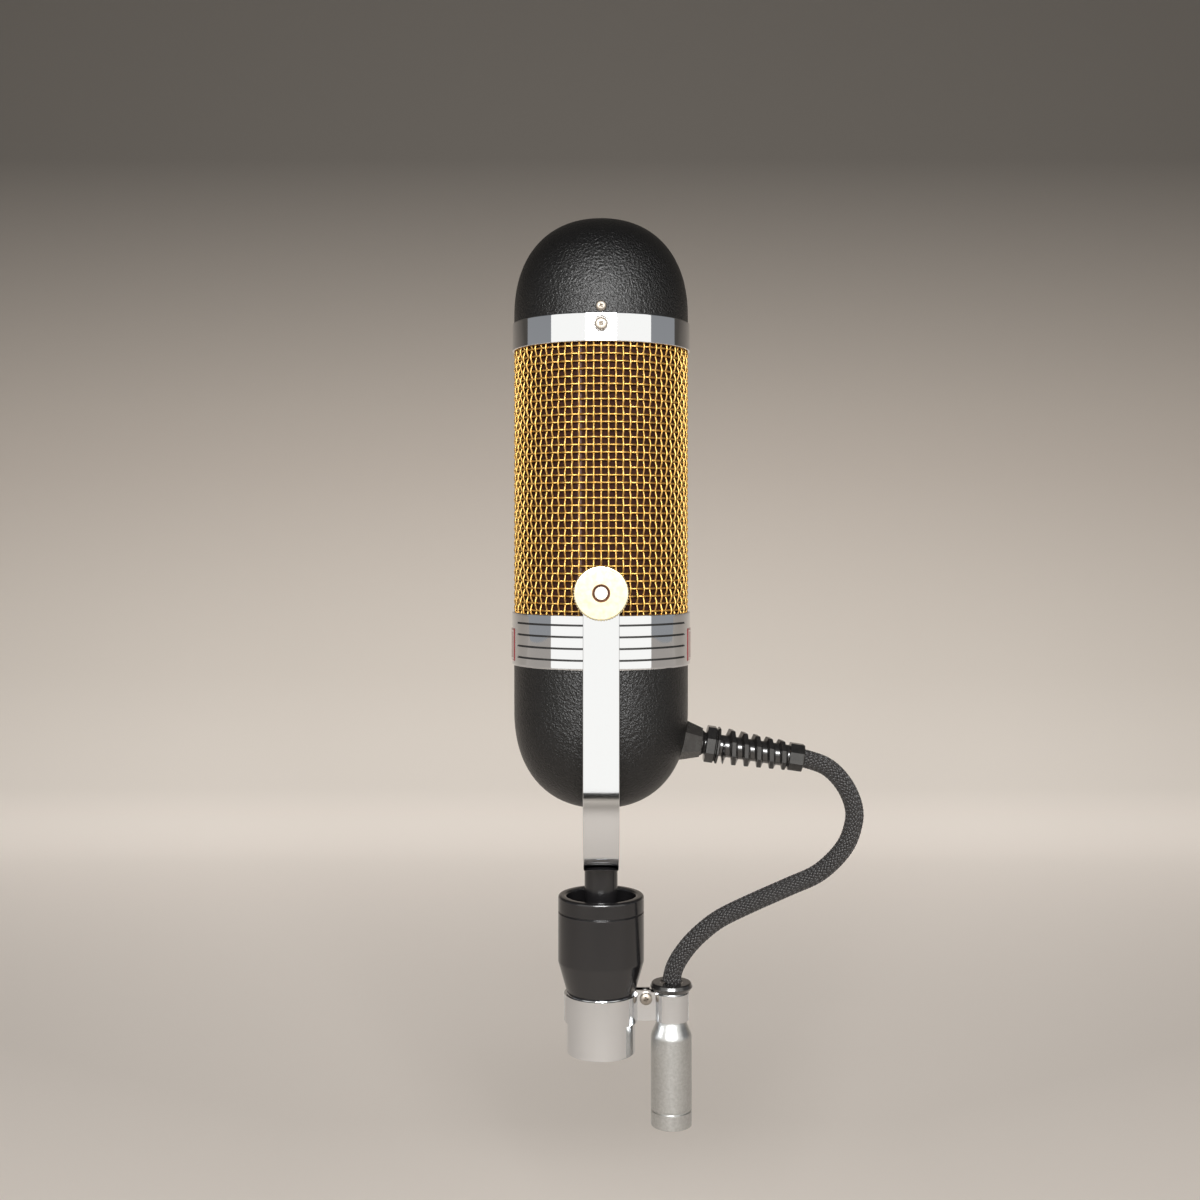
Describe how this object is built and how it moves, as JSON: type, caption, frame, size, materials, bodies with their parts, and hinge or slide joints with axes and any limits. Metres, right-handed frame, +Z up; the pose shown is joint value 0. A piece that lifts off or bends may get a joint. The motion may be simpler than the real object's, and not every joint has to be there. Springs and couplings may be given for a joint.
{
  "type": "ribbon microphone",
  "caption": "Cylindrical ribbon microphone with a woven wire grille, tilting in a U-shaped yoke on a cushioned stand mount, with a captive cable clipped beside the hub.",
  "frame": {"origin": "centre of the stand thread at its mouth, under the hub", "axes": "+Z up along the head's axis, +X to the rear where the cable leaves, Y along the tilt axis"},
  "size_m": [0.1641, 0.1142, 0.4206],
  "materials": {
    "wrinkle_enamel": "black wrinkle enamel, satin",
    "chrome": "polished",
    "screw_steel": "nickel plated",
    "brass_wire": "bright lacquered",
    "polished_brass": "polished",
    "lining": "dark woven",
    "badge_enamel": "gloss enamel",
    "frame_steel": "zinc plated",
    "magnet": "ground",
    "ribbon_foil": "bright foil",
    "coil_tape": "wound tape",
    "black_rubber": "matte",
    "black_anodised": "satin black anodised",
    "cable_braid": "braided nylon jacket",
    "plug_insert": "moulded",
    "gold_pins": "gold plated",
    "gland_plastic": "moulded"
  },
  "bodies": {
    "yoke": {"yoke_strap": "chrome", "yoke_bolt": "screw_steel", "post": "black_anodised", "cushion": "black_rubber", "cup": "black_anodised", "hub": "chrome", "stand_bush": "polished_brass", "clip": "chrome", "clip_screw": "screw_steel", "plug_shell": "chrome", "plug_insert": "plug_insert", "plug_pins": "gold_pins", "grommet": "black_rubber", "cable": "cable_braid"},
    "head": {"top_casing": "wrinkle_enamel", "top_band": "chrome", "casing_screws": "screw_steel", "band_screws": "screw_steel", "grille_uprights": "brass_wire", "grille_rows": "brass_wire", "grille_hems": "brass_wire", "grille_lining": "lining", "lower_band": "chrome", "front_badge": "badge_enamel", "rear_badge": "badge_enamel", "lower_casing": "wrinkle_enamel", "frame_roof": "frame_steel", "frame_base": "frame_steel", "frame_rods": "frame_steel", "magnets": "magnet", "pole_pieces": "frame_steel", "ribbon": "ribbon_foil", "ribbon_clamps": "polished_brass", "ribbon_clamp_screws": "screw_steel", "transformer_core": "magnet", "transformer_coil": "coil_tape", "transformer_bracket": "frame_steel", "pivot_spacers": "chrome", "pivot_studs": "screw_steel", "gland_nut": "gland_plastic", "strain_boot": "black_rubber"},
    "left_washer": {"left_washer": "polished_brass"},
    "left_nut": {"left_nut": "polished_brass"},
    "right_washer": {"right_washer": "polished_brass"},
    "right_nut": {"right_nut": "polished_brass"}
  },
  "joints": [
    {"name": "head_tilt", "type": "hinge", "parent": "yoke", "child": "head", "pos_m": [0, 0, 0.2152], "axis": [0, 1, 0], "range_deg": [-12, 30], "deforming": ["cable"]},
    {"name": "left_washer_slide", "type": "slide", "parent": "head", "child": "left_washer", "axis": [0, -1, 0], "range_m": [0, 0.00127]},
    {"name": "left_nut_turn", "type": "hinge", "parent": "left_washer", "child": "left_nut", "pos_m": [0, -0.053, 0.2152], "axis": [0, -1, 0], "range_deg": [0, 360]},
    {"name": "right_washer_slide", "type": "slide", "parent": "head", "child": "right_washer", "axis": [0, 1, 0], "range_m": [0, 0.00127]},
    {"name": "right_nut_turn", "type": "hinge", "parent": "right_washer", "child": "right_nut", "pos_m": [0, 0.053, 0.2152], "axis": [0, 1, 0], "range_deg": [0, 360]}
  ],
  "couplings": [
    {"joint": "left_nut_turn", "follows": "left_washer_slide", "rad_per_m": 4947.3},
    {"joint": "right_nut_turn", "follows": "right_washer_slide", "rad_per_m": 4947.3}
  ]
}
